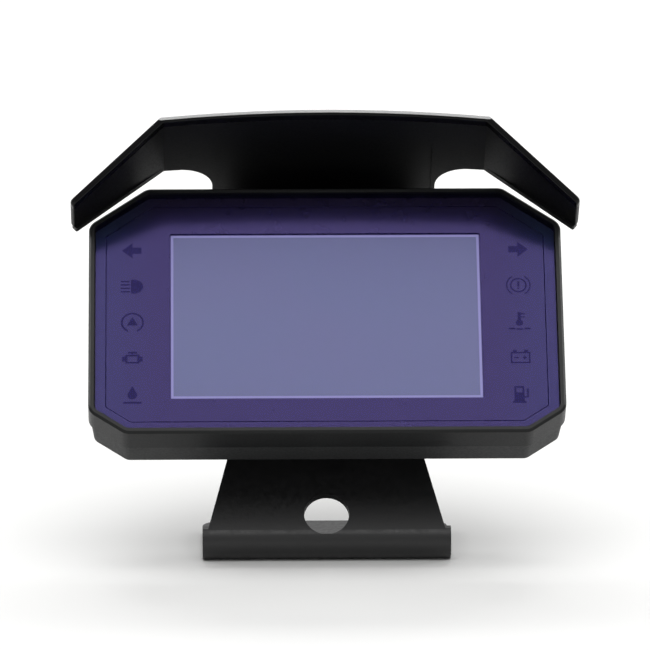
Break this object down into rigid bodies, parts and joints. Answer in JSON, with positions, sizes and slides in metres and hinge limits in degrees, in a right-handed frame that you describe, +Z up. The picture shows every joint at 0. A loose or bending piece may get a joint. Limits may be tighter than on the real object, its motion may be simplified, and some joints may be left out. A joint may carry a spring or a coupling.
{
  "type": "instrument cluster",
  "caption": "Motorcycle instrument cluster: wide colour display with warning-light columns under an arched sun visor, on a rubber-mounted steel bracket.",
  "frame": {"origin": "centre of the four bolt holes in the bracket's foot, on the foot's underside", "axes": "+Z up, -Y towards the rider, +X the rider's right"},
  "size_m": [0.1806, 0.1044, 0.1569],
  "materials": {
    "bezel_plastic": "satin moulded black",
    "cover_lens": "clear with a violet antireflection coat",
    "gasket_foam": "matte black foam",
    "mask_ink": "smooth dark ink",
    "symbol_film": "smoked translucent ink",
    "display_film": "satin polariser",
    "display_glass": "polished edge",
    "pan_metal": "pressed bright",
    "guide_acrylic": "clear acrylic",
    "led_package": "white package",
    "carrier_plastic": "white moulded",
    "board_laminate": "green solder mask",
    "chip_resin": "moulded resin",
    "coil_ferrite": "pressed ferrite",
    "capacitor_can": "drawn can",
    "socket_plastic": "ivory moulded",
    "flex_film": "amber film",
    "zinc_screw": "zinc plated",
    "black_screw": "black zinc plated",
    "connector_plastic": "glass-filled moulded",
    "pin_tin": "tin plated",
    "seal_silicone": "soft silicone",
    "cover_plastic": "textured moulded black",
    "vent_plastic": "moulded dark grey",
    "insert_brass": "turned",
    "sleeve_steel": "cut tube",
    "mount_rubber": "moulded matte",
    "bracket_paint": "powder coated satin black",
    "visor_plastic": "fine-grained moulded black"
  },
  "bodies": {
    "bracket": {"support_bracket": "bracket_paint", "bracket_gussets": "bracket_paint", "mount_grommets": "mount_rubber", "sun_visor": "visor_plastic", "visor_inserts": "insert_brass", "visor_washers": "zinc_screw", "visor_screws": "black_screw"},
    "cluster": {"backlight_leds": "led_package", "backlight_pan": "pan_metal", "board_screws": "zinc_screw", "bus_drivers": "chip_resin", "capacitors": "capacitor_can", "cover_lens": "cover_lens", "cover_screws": "black_screw", "display_carrier": "carrier_plastic", "display_flex": "flex_film", "display_panel": "display_glass", "display_polariser": "display_film", "display_socket": "socket_plastic", "face_mask": "mask_ink", "front_bezel": "bezel_plastic", "header_pins": "pin_tin", "header_seal": "seal_silicone", "header_shroud": "connector_plastic", "housing_seal": "seal_silicone", "lens_gasket": "gasket_foam", "light_guide": "guide_acrylic", "main_board": "board_laminate", "memory_chips": "chip_resin", "mount_inserts": "insert_brass", "mount_screws": "black_screw", "mount_sleeves": "sleeve_steel", "mount_washers": "zinc_screw", "power_coils": "coil_ferrite", "processor": "chip_resin", "rear_cover": "cover_plastic", "telltale_leds": "led_package", "telltale_symbols": "symbol_film", "vent_plug": "vent_plastic"}
  },
  "joints": [
    {"name": "mount_float", "type": "slide", "parent": "bracket", "child": "cluster", "axis": [0, -0.7431, 0.6691], "range_m": [-0.0008, 0.0008], "stiffness_N_per_m": 15000, "deforming": ["mount_grommets"]}
  ]
}
